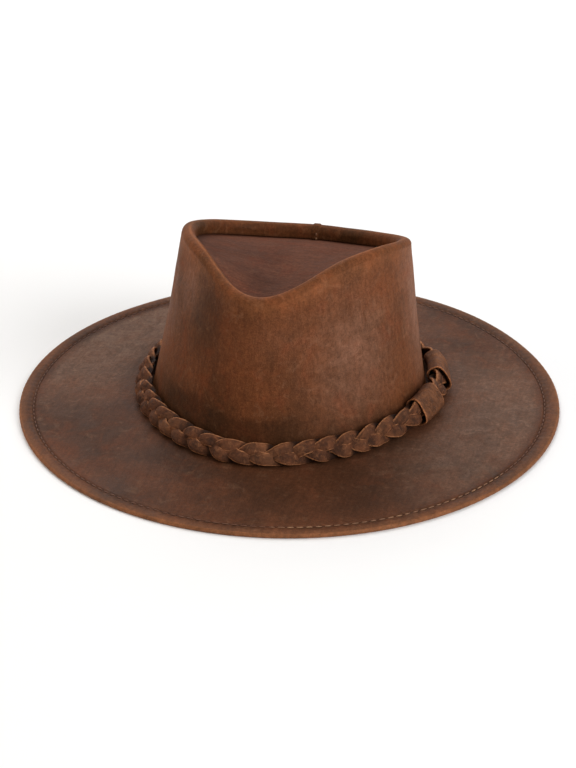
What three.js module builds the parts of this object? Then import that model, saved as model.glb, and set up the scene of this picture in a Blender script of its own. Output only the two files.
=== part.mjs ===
// A leather bush hat: a nearly flat round brim with a stitched hem, a tapered crown pinched in at
// both sides of its front, an inset crown top, and a flat braid of three leather strands round the
// foot of the crown, held by two leather keepers on the hat's left side.
//
// Millimetres, +Z up. The front of the hat faces -Y and its left side +X. The origin is the middle
// of the brim's outline, at the level of the surface that the brim rests on.

import * as THREE from 'three';

// Brim
const BRIM_HALF_WIDTH = 173;
const BRIM_HALF_LENGTH = 174.5;
const BRIM_THICKNESS = 2.6;
const BRIM_RISE = 2.4;
const BRIM_BACK_LIFT = 1.5;
const HEM_WIDTH = 9.4;
const HEM_PUFF = 0.7;
const STITCH_GROOVE_WIDTH = 2.2;
const STITCH_GROOVE_DEPTH = 0.5;

// The back of the brim is lifted: in full where a turn's cosine is below the first number, and not
// at all where it is above the second.
const BACK_LIFT_COSINES = [-0.97, -0.6];

// Crown
const CROWN_ASIDE = -3.5;
const FOOT_HALF_WIDTH = 89;
const RIM_HALF_WIDTH = 75;
const CROWN_HEIGHT = 120;
const RIM_TILT = 1.6;
const LEATHER_THICKNESS = 2;
const WALL_HOLLOW = 1.2;
const ROLL_RADIUS = 4.5;
const LIP_DEPTH = 8.5;
const TOP_SAG = 3;
const SEAM_WIDTH = 4.5;
const SEAM_HEIGHT = 0.7;

// Shares of the seam's width between which its edges slope down to the wall.
const SEAM_SLOPE = [0.35, 0.65];

// Braid and keepers
const STRAND_WIDTH = 5.6;
const STRAND_THICKNESS = 2.8;
const BRAID_SWING = 4.7;
const BRAID_WEAVE = 2.6;
const BRAID_LEAN = 32;
const BRAID_PERIODS = 13;
const KEEPER_LENGTH = 25;
const KEEPER_THICKNESS = 1.2;
const KEEPER_SPACING = 43;
const KEEPER_START = 85;
const KEEPER_SQUARENESS = 3;

// Clearances between pieces
const GAP = 0.3;
const KEEPER_SLACK = 0.7;

// Steps of the facets
const WALL_STEPS = 76;
const BRIM_STEPS = 80;
const STEPS_PER_PERIOD = 10;
const STRAND_SIDES = 6;

// The crown from its front (first row) round to its back (last row) in equal turns, the same on
// both sides. foot: radius at the brim, a share of FOOT_HALF_WIDTH. rim: radius at the top, a share
// of RIM_HALF_WIDTH. height: height of the top edge, a share of CROWN_HEIGHT. The rows pull a
// smooth curve, which passes near them.
const CROWN_ROWS = [
  { foot: 1.035, rim: 1.120, height: 0.866 },
  { foot: 0.975, rim: 0.925, height: 0.945 },
  { foot: 0.940, rim: 0.830, height: 1.005 },
  { foot: 0.940, rim: 0.868, height: 1.016 },
  { foot: 0.983, rim: 0.910, height: 0.978 },
  { foot: 1.045, rim: 1.050, height: 0.907 },
  { foot: 1.080, rim: 1.065, height: 0.822 },
  { foot: 1.090, rim: 1.010, height: 0.780 },
  { foot: 1.090, rim: 1.005, height: 0.775 },
];

const BRIM_COLOUR = 0x5a3a2a;
const CROWN_COLOUR = 0x6e4630;
const TOP_COLOUR = 0x6b4236;
const BRAID_COLOUR = 0x694832;
const KEEPER_COLOUR = 0x71503a;

const FULL_TURN = 2 * Math.PI;
const degrees = THREE.MathUtils.degToRad;
const lerp = THREE.MathUtils.lerp;
const smoothstep = THREE.MathUtils.smoothstep;

// Value of one column of CROWN_ROWS at a turn from the front: a cubic B-spline over the rows,
// mirrored to the other side of the hat.
function crownShare(column, turn) {
  const rows = CROWN_ROWS.length - 1;
  const place = (Math.abs(wrapTurn(turn)) / Math.PI) * rows;
  const first = Math.floor(place);
  const part = place - first;
  const weights = [
    (1 - part) ** 3,
    3 * part ** 3 - 6 * part ** 2 + 4,
    -3 * part ** 3 + 3 * part ** 2 + 3 * part + 1,
    part ** 3,
  ];
  let sum = 0;
  weights.forEach((weight, k) => {
    let row = Math.abs(first + k - 1);
    if (row > rows) row = 2 * rows - row;
    sum += (weight / 6) * CROWN_ROWS[row][column];
  });
  return sum;
}

// A turn brought into the range from minus half a turn to half a turn.
function wrapTurn(turn) {
  return turn - FULL_TURN * Math.round(turn / FULL_TURN);
}

// How far the crown's middle is aside at a height: its foot is off the brim's middle, its top isn't.
function asideAt(height) {
  return CROWN_ASIDE * (1 - height / CROWN_HEIGHT);
}

// The point at a radius from the crown's middle, a turn from the front and a height.
function polar(radius, turn, height) {
  const x = asideAt(height) + radius * Math.sin(turn);
  return new THREE.Vector3(x, -radius * Math.cos(turn), height);
}

// The wall's radius at its foot and its rim, and the height of its rim, which stands RIM_TILT higher
// on the hat's left side and as much lower on its right.
const footRadius = (turn) => FOOT_HALF_WIDTH * crownShare('foot', turn);
const rimRadius = (turn) => RIM_HALF_WIDTH * crownShare('rim', turn);
const rimHeight = (turn) => CROWN_HEIGHT * crownShare('height', turn) + RIM_TILT * Math.sin(turn);

// The brim's upper face beside the crown, on which the wall stands.
const FOOT_HEIGHT = BRIM_RISE + BRIM_THICKNESS;

// Radius of the wall's outer face at a height, a little hollow between foot and rim.
function wallRadius(turn, height) {
  const share = (height - FOOT_HEIGHT) / (rimHeight(turn) - FOOT_HEIGHT);
  const hollow = 4 * WALL_HOLLOW * share * (1 - share);
  return lerp(footRadius(turn), rimRadius(turn), share) - hollow;
}

// How far the lapped back seam stands proud of the wall at a turn.
function seamStep(turn, radius) {
  const aside = Math.abs(wrapTurn(turn - Math.PI)) * radius;
  return SEAM_HEIGHT * (1 - smoothstep(aside, ...SEAM_SLOPE.map((share) => share * SEAM_WIDTH)));
}

// A closed ring: one polygon of points at each turn, joined to the next one, facing out.
function ringGeometry(turns, sectionAt) {
  const sections = turns.map(sectionAt);
  const count = sections[0].length;
  const positions = sections.flat().flatMap((point) => [point.x, point.y, point.z]);
  const index = [];
  for (let i = 0; i < sections.length; i += 1) {
    const next = (i + 1) % sections.length;
    for (let k = 0; k < count; k += 1) {
      const after = (k + 1) % count;
      const a = i * count + k;
      const b = next * count + k;
      const c = next * count + after;
      const d = i * count + after;
      index.push(a, b, c, a, c, d);
    }
  }
  return meshGeometry(positions, index);
}

// A mesh geometry from its points and triangles, turned to face out.
function meshGeometry(positions, index) {
  const point = (k) => new THREE.Vector3().fromArray(positions, 3 * k);
  let volume = 0;
  for (let k = 0; k < index.length; k += 3) {
    volume += point(index[k]).dot(point(index[k + 1]).cross(point(index[k + 2])));
  }
  if (volume < 0) index.reverse();
  const geometry = new THREE.BufferGeometry();
  geometry.setAttribute('position', new THREE.Float32BufferAttribute(positions, 3));
  geometry.setIndex(index);
  geometry.computeVertexNormals();
  return geometry;
}

function evenTurns(steps) {
  return Array.from({ length: steps }, (_, k) => (k / steps) * FULL_TURN);
}

const hat = new THREE.Group();

function addPiece(name, geometry, colour, roughness) {
  const material = new THREE.MeshStandardMaterial({ color: colour, roughness, metalness: 0 });
  const mesh = new THREE.Mesh(geometry, material);
  mesh.name = name;
  hat.add(mesh);
}

// Radius of the brim's edge: an ellipse round the origin.
function edgeRadius(turn) {
  return 1 / Math.hypot(Math.sin(turn) / BRIM_HALF_WIDTH, Math.cos(turn) / BRIM_HALF_LENGTH);
}

// Height of the brim's underside: it rises from the hem to the crown, and its back edge is lifted.
function brimUnderside(turn, radius) {
  const inner = footRadius(turn) - LEATHER_THICKNESS;
  const flatFrom = edgeRadius(turn) - 2 * HEM_WIDTH;
  const rise = BRIM_RISE * (1 - smoothstep(radius, inner, flatFrom));
  const outward = smoothstep(radius, inner, edgeRadius(turn));
  const level = smoothstep(Math.cos(turn), ...BACK_LIFT_COSINES);
  return rise + BRIM_BACK_LIFT * outward * (1 - level);
}

// A point of the brim: the head opening lies round the crown's middle, the edge round the origin.
function brimPoint(turn, radius, lift) {
  const point = polar(radius, turn, brimUnderside(turn, radius) + lift);
  const inner = footRadius(turn) - LEATHER_THICKNESS;
  point.x -= asideAt(point.z) * smoothstep(radius, inner, edgeRadius(turn));
  return point;
}

// One section of the brim, from the head opening out over the top and back along the underside.
function brimSection(turn) {
  const inner = footRadius(turn) - LEATHER_THICKNESS;
  const edge = edgeRadius(turn);
  const stitch = edge - HEM_WIDTH;
  const crease = STITCH_GROOVE_WIDTH / 2;
  const full = BRIM_THICKNESS;
  const hem = BRIM_THICKNESS + HEM_PUFF;
  const top = [
    [inner, full],
    [footRadius(turn) + STRAND_WIDTH, full],
    [lerp(inner, stitch, 0.5), full],
    [stitch - 2 * crease, full],
    [stitch, full - STITCH_GROOVE_DEPTH],
    [stitch + crease, hem - HEM_PUFF / 2],
    [lerp(stitch, edge, 0.45), hem],
    [lerp(stitch, edge, 0.85), hem - HEM_PUFF / 2],
    [edge, hem / 2],
  ];
  const underside = [edge - hem / 3, stitch, lerp(inner, stitch, 0.75), lerp(inner, stitch, 0.4), inner];
  return [
    ...top.map(([radius, lift]) => brimPoint(turn, radius, lift)),
    ...underside.map((radius) => brimPoint(turn, radius, 0)),
  ];
}

addPiece('brim', ringGeometry(evenTurns(BRIM_STEPS), brimSection), BRIM_COLOUR, 0.6);

// The wall's turns: even steps, with closer ones at both edges of the back seam.
function wallTurns() {
  const turns = evenTurns(WALL_STEPS).filter((turn) => Math.abs(turn - Math.PI) > 1e-6);
  const half = SEAM_WIDTH / rimRadius(Math.PI);
  for (const share of SEAM_SLOPE) turns.push(Math.PI - share * half, Math.PI + share * half);
  return turns.sort((a, b) => a - b);
}

// Radius of the lip's face toward the middle of the hat.
function lipRadius(turn) {
  const rollMiddle = wallRadius(turn, rimHeight(turn) - ROLL_RADIUS) - ROLL_RADIUS;
  return rollMiddle - ROLL_RADIUS - seamStep(turn, rimRadius(turn));
}

// One section of the crown wall: up its outer face, over the roll, down the lip inside, back up
// behind the lip, and down the inner face.
function wallSection(turn) {
  const standing = FOOT_HEIGHT + GAP;
  const crest = rimHeight(turn);
  const rollCentre = crest - ROLL_RADIUS;
  const bore = ROLL_RADIUS - LEATHER_THICKNESS;
  const proud = seamStep(turn, rimRadius(turn));
  const outerRadius = (height) => wallRadius(turn, height) + proud;
  const innerRadius = (height) => wallRadius(turn, height) - LEATHER_THICKNESS;
  const middle = wallRadius(turn, rollCentre) - ROLL_RADIUS;
  const lipEnd = crest - LIP_DEPTH;
  const section = [];
  for (const share of [0, 0.25, 0.5, 0.75, 1]) {
    const height = lerp(standing, rollCentre, share);
    section.push(polar(outerRadius(height), turn, height));
  }
  for (const angle of [45, 90, 135]) {
    const reach = ROLL_RADIUS + proud;
    const radius = middle + reach * Math.cos(degrees(angle));
    section.push(polar(radius, turn, rollCentre + reach * Math.sin(degrees(angle))));
  }
  section.push(polar(lipRadius(turn), turn, rollCentre));
  section.push(polar(lipRadius(turn), turn, lipEnd));
  section.push(polar(middle - bore, turn, lipEnd));
  section.push(polar(middle - bore, turn, rollCentre));
  section.push(polar(middle, turn, rollCentre + bore));
  for (const share of [1, 0.75, 0.5, 0.25, 0]) {
    const height = lerp(standing, rollCentre, share);
    section.push(polar(innerRadius(height), turn, height));
  }
  return section;
}

addPiece('crown_wall', ringGeometry(wallTurns(), wallSection), CROWN_COLOUR, 0.65);

// The crown top: a leather plate whose level border lies under the lip and whose middle sags.
function crownTopGeometry() {
  const turns = evenTurns(WALL_STEPS);
  const shares = [0.35, 0.7, 1];
  const edgeHeight = (turn) => rimHeight(turn) - LIP_DEPTH - GAP;
  const mean = turns.reduce((sum, turn) => sum + edgeHeight(turn), 0) / turns.length;
  const upper = (turn, share) => {
    const height = lerp(mean, edgeHeight(turn), share ** 2) - TOP_SAG * (1 - share ** 2);
    return polar(share * lipRadius(turn), turn, height);
  };
  const border = (turn) => {
    const reach = wallRadius(turn, edgeHeight(turn)) - LEATHER_THICKNESS - GAP;
    return polar(reach, turn, edgeHeight(turn));
  };
  const count = turns.length;
  const positions = [];
  const index = [];
  for (const drop of [0, LEATHER_THICKNESS]) {
    const middle = polar(0, 0, mean - TOP_SAG - drop);
    positions.push(middle.x, middle.y, middle.z);
    const rings = shares.map((share) => turns.map((turn) => upper(turn, share)));
    for (const point of [...rings, turns.map(border)].flat()) {
      positions.push(point.x, point.y, point.z - drop);
    }
  }
  const last = shares.length;
  const layer = 1 + (last + 1) * count;
  const at = (side, ring, k) => side * layer + 1 + ring * count + (k % count);
  for (let k = 0; k < count; k += 1) {
    index.push(0, at(0, 0, k), at(0, 0, k + 1));
    index.push(layer, at(1, 0, k + 1), at(1, 0, k));
    for (let ring = 1; ring <= last; ring += 1) {
      index.push(at(0, ring - 1, k), at(0, ring, k), at(0, ring, k + 1));
      index.push(at(0, ring - 1, k), at(0, ring, k + 1), at(0, ring - 1, k + 1));
      index.push(at(1, ring - 1, k), at(1, ring, k + 1), at(1, ring, k));
      index.push(at(1, ring - 1, k), at(1, ring - 1, k + 1), at(1, ring, k + 1));
    }
    index.push(at(0, last, k), at(1, last, k), at(1, last, k + 1));
    index.push(at(0, last, k), at(1, last, k + 1), at(0, last, k + 1));
  }
  return meshGeometry(positions, index);
}

addPiece('crown_top', crownTopGeometry(), TOP_COLOUR, 0.7);

// The braid's section: half its width and depth, and its level and upright reach as it leans.
const BRAID_HALF_WIDTH = BRAID_SWING + STRAND_WIDTH / 2;
const BRAID_HALF_DEPTH = BRAID_WEAVE + STRAND_THICKNESS / 2;
const LEAN_COS = Math.cos(degrees(BRAID_LEAN));
const LEAN_SIN = Math.sin(degrees(BRAID_LEAN));
const BRAID_REACH = Math.hypot(BRAID_HALF_WIDTH * LEAN_SIN, BRAID_HALF_DEPTH * LEAN_COS);
const BRAID_RAISE = Math.hypot(BRAID_HALF_WIDTH * LEAN_COS, BRAID_HALF_DEPTH * LEAN_SIN);

// A keeper's section is a rounded oblong round the braid, and leans with it.
const KEEPER_HALF_WIDTH = BRAID_HALF_WIDTH + KEEPER_SLACK / 2 + KEEPER_THICKNESS;
const KEEPER_HALF_DEPTH = BRAID_HALF_DEPTH + KEEPER_SLACK / 2 + KEEPER_THICKNESS;
const KEEPER_REACH = oblongReach(KEEPER_HALF_WIDTH * LEAN_SIN, KEEPER_HALF_DEPTH * LEAN_COS);
const KEEPER_RAISE = oblongReach(KEEPER_HALF_WIDTH * LEAN_COS, KEEPER_HALF_DEPTH * LEAN_SIN);

// How far a rounded oblong reaches, from its two half sizes as seen along one direction.
function oblongReach(first, second) {
  const power = KEEPER_SQUARENESS / (KEEPER_SQUARENESS - 1);
  return (first ** power + second ** power) ** (1 / power);
}

// Lengths of keeper, from a keeper's middle, between which the braid eases out of its room.
const KEEPER_EASE = [0.6, 2];

// The keepers' places round the crown.
const keeperTurns = [KEEPER_START, KEEPER_START + KEEPER_SPACING / footRadius(degrees(KEEPER_START))
  * (180 / Math.PI)].map(degrees);

// The share of a keeper's room that the braid keeps to the wall and the brim at a turn: all of it
// at and between the keepers, none far from them.
function keeperShare(turn) {
  const reach = KEEPER_LENGTH / footRadius(turn);
  const before = keeperTurns[0] - wrapTurn(turn);
  const after = wrapTurn(turn) - keeperTurns[1];
  return 1 - smoothstep(Math.max(before, after), ...KEEPER_EASE.map((share) => share * reach));
}

// The middle line of the braid, at a turn.
function braidCentre(turn) {
  const share = keeperShare(turn);
  const height = FOOT_HEIGHT + GAP + lerp(BRAID_RAISE, KEEPER_RAISE, share);
  const radius = footRadius(turn) + GAP + lerp(BRAID_REACH, KEEPER_REACH, share);
  return polar(radius, turn, height);
}

// The braid's own directions at a turn: up its width, leaning to the crown, and out of its face.
function braidDirections(turn) {
  const step = 1e-3;
  const along = braidCentre(turn + step).sub(braidCentre(turn - step)).setZ(0).normalize();
  const outward = new THREE.Vector3(along.y, -along.x, 0);
  const upright = new THREE.Vector3(0, 0, 1);
  const across = upright.clone().multiplyScalar(LEAN_COS).addScaledVector(outward, -LEAN_SIN);
  const face = outward.clone().multiplyScalar(LEAN_COS).addScaledVector(upright, LEAN_SIN);
  return { across, face };
}

// A strand swings up and down and weaves in and out twice as often, a third of a period apart
// from the others.
function strandCentre(turn, strand) {
  const phase = BRAID_PERIODS * turn + (strand / 3) * FULL_TURN;
  const { across, face } = braidDirections(turn);
  return braidCentre(turn)
    .addScaledVector(face, BRAID_WEAVE * Math.sin(2 * phase))
    .addScaledVector(across, BRAID_SWING * Math.sin(phase));
}

function strandSection(turn, strand) {
  const step = 1e-3;
  const centre = strandCentre(turn, strand);
  const along = strandCentre(turn + step, strand).sub(strandCentre(turn - step, strand)).normalize();
  const { face } = braidDirections(turn);
  const across = new THREE.Vector3().crossVectors(face, along).normalize();
  face.crossVectors(along, across);
  return Array.from({ length: STRAND_SIDES }, (_, k) => {
    const angle = (k / STRAND_SIDES) * FULL_TURN;
    return centre.clone()
      .addScaledVector(across, (STRAND_WIDTH / 2) * Math.cos(angle))
      .addScaledVector(face, (STRAND_THICKNESS / 2) * Math.sin(angle));
  });
}

for (let strand = 0; strand < 3; strand += 1) {
  const turns = evenTurns(BRAID_PERIODS * STEPS_PER_PERIOD);
  const geometry = ringGeometry(turns, (turn) => strandSection(turn, strand));
  addPiece(`braid_strand_${strand + 1}`, geometry, BRAID_COLOUR, 0.7);
}

// A keeper: a short leather sleeve round the braid, open at both ends, that bends with it.
function keeperGeometry(middleTurn) {
  const steps = 4;
  const sides = 12;
  const halfTurn = KEEPER_LENGTH / 2 / braidCentre(middleTurn).setZ(0).length();
  const positions = [];
  for (const inset of [0, KEEPER_THICKNESS]) {
    for (let i = 0; i <= steps; i += 1) {
      const turn = lerp(middleTurn - halfTurn, middleTurn + halfTurn, i / steps);
      const centre = braidCentre(turn);
      const { across, face } = braidDirections(turn);
      for (let k = 0; k < sides; k += 1) {
        const angle = (k / sides) * FULL_TURN;
        const power = KEEPER_SQUARENESS;
        const round = (Math.abs(Math.cos(angle)) ** power + Math.abs(Math.sin(angle)) ** power)
          ** (1 / power);
        const point = centre.clone()
          .addScaledVector(face, ((KEEPER_HALF_DEPTH - inset) / round) * Math.cos(angle))
          .addScaledVector(across, ((KEEPER_HALF_WIDTH - inset) / round) * Math.sin(angle));
        positions.push(point.x, point.y, point.z);
      }
    }
  }
  const at = (shell, i, k) => (shell * (steps + 1) + i) * sides + (k % sides);
  const index = [];
  const quad = (a, b, c, d) => index.push(a, b, c, a, c, d);
  for (let k = 0; k < sides; k += 1) {
    for (let i = 0; i < steps; i += 1) {
      quad(at(0, i, k), at(0, i, k + 1), at(0, i + 1, k + 1), at(0, i + 1, k));
      quad(at(1, i, k), at(1, i + 1, k), at(1, i + 1, k + 1), at(1, i, k + 1));
    }
    quad(at(0, 0, k), at(1, 0, k), at(1, 0, k + 1), at(0, 0, k + 1));
    quad(at(0, steps, k), at(0, steps, k + 1), at(1, steps, k + 1), at(1, steps, k));
  }
  return meshGeometry(positions, index);
}

addPiece('keeper_front', keeperGeometry(keeperTurns[0]), KEEPER_COLOUR, 0.7);
addPiece('keeper_rear', keeperGeometry(keeperTurns[1]), KEEPER_COLOUR, 0.7);

export default hat;
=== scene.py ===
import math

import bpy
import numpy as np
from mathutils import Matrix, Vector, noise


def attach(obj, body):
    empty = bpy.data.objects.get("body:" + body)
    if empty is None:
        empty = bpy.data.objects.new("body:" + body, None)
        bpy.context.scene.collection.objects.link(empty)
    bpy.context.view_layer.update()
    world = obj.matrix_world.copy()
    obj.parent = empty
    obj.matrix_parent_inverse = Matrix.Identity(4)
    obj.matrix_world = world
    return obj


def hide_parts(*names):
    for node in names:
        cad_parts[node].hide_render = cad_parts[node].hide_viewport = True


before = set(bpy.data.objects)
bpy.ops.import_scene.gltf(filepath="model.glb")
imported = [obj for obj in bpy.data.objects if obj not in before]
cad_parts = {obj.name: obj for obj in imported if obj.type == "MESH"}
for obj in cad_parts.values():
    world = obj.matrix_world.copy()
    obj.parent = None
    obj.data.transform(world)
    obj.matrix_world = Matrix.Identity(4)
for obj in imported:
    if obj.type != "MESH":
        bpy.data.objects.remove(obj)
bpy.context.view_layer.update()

# A leather bush hat: brim with a stitched hem, crown with a rolled lip and an inset top, and a
# braided band of three leather strands with two keepers. Shapes are worked out in millimetres from
# the hat's own sizes and become metres when a mesh is made.

MM = 0.001
FULL_TURN = 2 * math.pi
SMALL_TURN = 0.001

# Brim
BRIM_HALF_WIDTH = 173.0
BRIM_HALF_LENGTH = 174.5
BRIM_THICKNESS = 2.6
BRIM_RISE = 2.4
BRIM_BACK_LIFT = 1.5
HEM_WIDTH = 9.4
HEM_PUFF = 0.7
BACK_LIFT_COSINES = (-0.97, -0.6)
HEM_STITCHES = 188
STEPS_PER_STITCH = 6
HEM_STEPS = HEM_STITCHES * STEPS_PER_STITCH

# Crown
CROWN_ASIDE = -3.5
FOOT_HALF_WIDTH = 89.0
RIM_HALF_WIDTH = 75.0
CROWN_HEIGHT = 120.0
RIM_TILT = 1.6
WALL_HOLLOW = 1.2
ROLL_RADIUS = 4.5
LIP_DEPTH = 8.5
TOP_SAG = 3.0
SEAM_WIDTH = 4.5
SEAM_HEIGHT = 0.7
SEAM_SLOPE = (0.35, 0.65)
SEAM_STITCH_ASIDE = 1.2
WALL_STEPS = 400
TOP_STEPS = 240
LEATHER_THICKNESS = 2.0
FOOT_HEIGHT = BRIM_RISE + BRIM_THICKNESS
GAP = 0.3

# Radius at the foot, radius at the rim and height of the rim, from the front round to the back, as
# shares of FOOT_HALF_WIDTH, RIM_HALF_WIDTH and CROWN_HEIGHT.
CROWN_ROWS = (
    dict(foot=1.035, rim=1.120, height=0.866),
    dict(foot=0.975, rim=0.925, height=0.945),
    dict(foot=0.940, rim=0.830, height=1.005),
    dict(foot=0.940, rim=0.868, height=1.016),
    dict(foot=0.983, rim=0.910, height=0.978),
    dict(foot=1.045, rim=1.050, height=0.907),
    dict(foot=1.080, rim=1.065, height=0.822),
    dict(foot=1.090, rim=1.010, height=0.780),
    dict(foot=1.090, rim=1.005, height=0.775),
)

# Painted sheen on the crown, pale grey patches in place of highlights: turn and height of its middle, its
# spread in degrees and mm, its amount
PAINTED_SHEEN_PATCHES = (
    (50.0, 62.0, 24.0, 40.0, 0.85),
    (-48.0, 98.0, 13.0, 16.0, 0.85),
    (-75.0, 60.0, 20.0, 40.0, 0.35),
    (15.0, 80.0, 16.0, 18.0, 0.25),
    (104.0, 70.0, 13.0, 60.0, 1.0),
)

# Braid: the strips are flatter and wider than the solids, and fill the same room
BRAID_PERIODS = 13
BRAID_LEAN = math.radians(32)
BRAID_HALF_WIDTH = 7.5
BRAID_HALF_DEPTH = 4.0
STRIP_WIDTH = 7.8
STRIP_THICKNESS = 2.5
STRIP_SWING = 3.8
STRIP_WEAVE = 2.1
STRIP_TILT = math.radians(9)
STRIP_SIDES = 24
STRIP_SQUARENESS = 0.62
STRIP_ARCH = 0.45
STEPS_PER_PERIOD = 44

# Keepers
KEEPER_LENGTH = 25.0
KEEPER_THICKNESS = 1.2
KEEPER_SPACING = 43.0
KEEPER_START = math.radians(85)
KEEPER_SQUARENESS = 3.0
KEEPER_SLACK = 0.7
KEEPER_EASE = (0.6, 2.0)
KEEPER_RINGS = 30
KEEPER_SIDES = 60

# Thread
THREAD_WIDTH = 0.85
THREAD_HEIGHT = 0.75
THREAD_SINK = 0.12
LIP_THREAD_WIDTH = 1.1

# Colours as screen values. A leather has a base, a dark, a red and a pale tone, the tone of its painted
# sheen (painted highlight) and the tone where it is worn. A strip leather has a base, a dark and a worn
# tone.
CROWN_COLOURS = ((104, 59, 33), (72, 43, 23), (120, 59, 33), (134, 91, 64), (130, 90, 70), (156, 96, 58))
BRIM_COLOURS = ((92, 55, 35), (68, 42, 27), (104, 57, 35), (120, 88, 66), (126, 97, 79), (146, 94, 60))
TOP_COLOURS = ((96, 58, 42), (78, 46, 33), (104, 56, 40), (108, 72, 56), (120, 84, 66), (130, 80, 52))
BRAID_COLOURS = ((114, 69, 44), (66, 39, 25), (198, 134, 90))
KEEPER_COLOURS = ((122, 77, 49), (82, 50, 31), (190, 122, 78))
SUEDE_SIDE = (104, 72, 52)
NAP_COLOUR = (236, 150, 92)
THREAD = (196, 150, 106)
THREAD_SHADE = (140, 98, 66)
DARK_THREAD = (94, 54, 34)

# Lights: name, place, size, watts and colour
LIGHTS = (
    ("key", (2.0, -0.9, 1.2), (1.5, 1.5), 46, (1, 1, 1)),
    ("top", (0.0, -0.2, 2.2), (2.4, 2.4), 5, (1, 1, 1)),
    ("back", (-0.9, 1.2, 1.7), (2.2, 1.6), 28, (1, 1, 1)),
    ("backdrop", (0.3, 2.2, 1.0), (3.0, 1.0), 8, (1, 1, 1)),
    ("fill", (-1.9, -0.8, 0.9), (1.2, 1.2), 13, (1.0, 0.86, 0.7)),
)
FLOOR_HALF = 6.0

# Camera: where the photograph was taken from, and where the origin lies in its 576 by 768 frame
PHOTO_SIZE = (576, 768)
ORIGIN_PIXEL = (289.5, 400.9)
CAMERA_AZIMUTH = math.radians(15.0)
CAMERA_ELEVATION = math.radians(27.5)
CAMERA_DISTANCE = 1.6
FOCAL_PIXELS = 2485
SENSOR_MM = 36.0


# Shape functions, the same as the solids'


def wrap(turn):
    return turn - FULL_TURN * np.round(turn / FULL_TURN)


def smoothstep(value, low, high):
    share = np.clip((value - low) / (high - low), 0, 1)
    return share * share * (3 - 2 * share)


def lerp(first, second, share):
    return first + (second - first) * share


def even_turns(count):
    return np.arange(count) / count * FULL_TURN


def bump_at(value, middle, spread):
    """A rounded bump that is 1 at the middle and fades over the spread."""
    return np.exp(-(((value - middle) / spread) ** 2))


def crown_share(column, turn):
    rows = len(CROWN_ROWS) - 1
    values = np.array([row[column] for row in CROWN_ROWS])
    place = np.abs(wrap(np.asarray(turn, float))) / math.pi * rows
    first = np.floor(place).astype(int)
    part = place - first
    weights = (
        (1 - part) ** 3,
        3 * part**3 - 6 * part**2 + 4,
        -3 * part**3 + 3 * part**2 + 3 * part + 1,
        part**3,
    )
    total = 0
    for k, weight in enumerate(weights):
        row = np.abs(first + k - 1)
        row = np.where(row > rows, 2 * rows - row, row)
        total = total + weight / 6 * values[row]
    return total


def foot_radius(turn):
    return FOOT_HALF_WIDTH * crown_share("foot", turn)


def rim_radius(turn):
    return RIM_HALF_WIDTH * crown_share("rim", turn)


def rim_height(turn):
    return CROWN_HEIGHT * crown_share("height", turn) + RIM_TILT * np.sin(turn)


def wall_radius(turn, height):
    share = (height - FOOT_HEIGHT) / (rim_height(turn) - FOOT_HEIGHT)
    hollow = 4 * WALL_HOLLOW * share * (1 - share)
    return lerp(foot_radius(turn), rim_radius(turn), share) - hollow


def aside_at(height):
    return CROWN_ASIDE * (1 - height / CROWN_HEIGHT)


def polar(radius, turn, height):
    radius, turn, height = np.broadcast_arrays(radius, turn, height)
    x = aside_at(height) + radius * np.sin(turn)
    return np.stack([x, -radius * np.cos(turn), height.astype(float)], -1)


def edge_radius(turn):
    return 1 / np.hypot(np.sin(turn) / BRIM_HALF_WIDTH, np.cos(turn) / BRIM_HALF_LENGTH)


def brim_underside(turn, radius):
    inner = foot_radius(turn) - LEATHER_THICKNESS
    flat_from = edge_radius(turn) - 2 * HEM_WIDTH
    rise = BRIM_RISE * (1 - smoothstep(radius, inner, flat_from))
    outward = smoothstep(radius, inner, edge_radius(turn))
    level = smoothstep(np.cos(turn), *BACK_LIFT_COSINES)
    return rise + BRIM_BACK_LIFT * outward * (1 - level)


def brim_point(turn, radius, lift):
    point = polar(radius, turn, brim_underside(turn, radius) + lift)
    inner = foot_radius(turn) - LEATHER_THICKNESS
    point[..., 0] -= aside_at(point[..., 2]) * smoothstep(radius, inner, edge_radius(turn))
    return point


def seam_step(turn, radius):
    aside = np.abs(wrap(turn - math.pi)) * radius
    return SEAM_HEIGHT * (1 - smoothstep(aside, *(SEAM_WIDTH * share for share in SEAM_SLOPE)))


# Mesh helpers


def waves(points, size, seed):
    """Smooth noise between about -1 and 1 at points in millimetres, with swells about size wide."""
    places = points.reshape(-1, 3) / size + seed
    values = [noise.noise(Vector(place)) for place in places]
    return np.array(values).reshape(points.shape[:-1])


def make_object(name, points, faces, attributes):
    mesh = bpy.data.meshes.new(name)
    mesh.from_pydata((points.reshape(-1, 3) * MM).tolist(), [], faces)
    for key, values in attributes.items():
        layer = mesh.attributes.new(key, "FLOAT", "POINT")
        layer.data.foreach_set("value", np.asarray(values, np.float32).ravel())
    mesh.polygons.foreach_set("use_smooth", [True] * len(mesh.polygons))
    mesh.validate()
    piece = bpy.data.objects.new(name, mesh)
    bpy.context.collection.objects.link(piece)
    return piece


def grid_faces(rows, columns, close_rows, close_columns):
    i = np.arange(rows if close_rows else rows - 1)[:, None]
    k = np.arange(columns if close_columns else columns - 1)[None, :]
    after_i = (i + 1) % rows
    after_k = (k + 1) % columns
    corners = (
        i * columns + k,
        after_i * columns + k,
        after_i * columns + after_k,
        i * columns + after_k,
    )
    return np.stack([np.broadcast_to(c, (i.size, k.size)) for c in corners], -1).reshape(-1, 4)


def outward_faces(points, faces):
    flat = points.reshape(-1, 3)
    a, b, c, d = (flat[faces[:, k]] for k in range(4))
    volume = np.einsum("ij,ij->i", a, np.cross(b, c) + np.cross(c, d)).sum()
    return faces if volume > 0 else faces[:, ::-1]


def ring_object(name, points, **attributes):
    """A solid ring from its sections: points[turn, place on the section]."""
    faces = outward_faces(points, grid_faces(points.shape[0], points.shape[1], True, True))
    return make_object(name, points, faces.tolist(), attributes)


# Brim: section from the head opening over the top, round the hem's edge and back underneath


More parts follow.
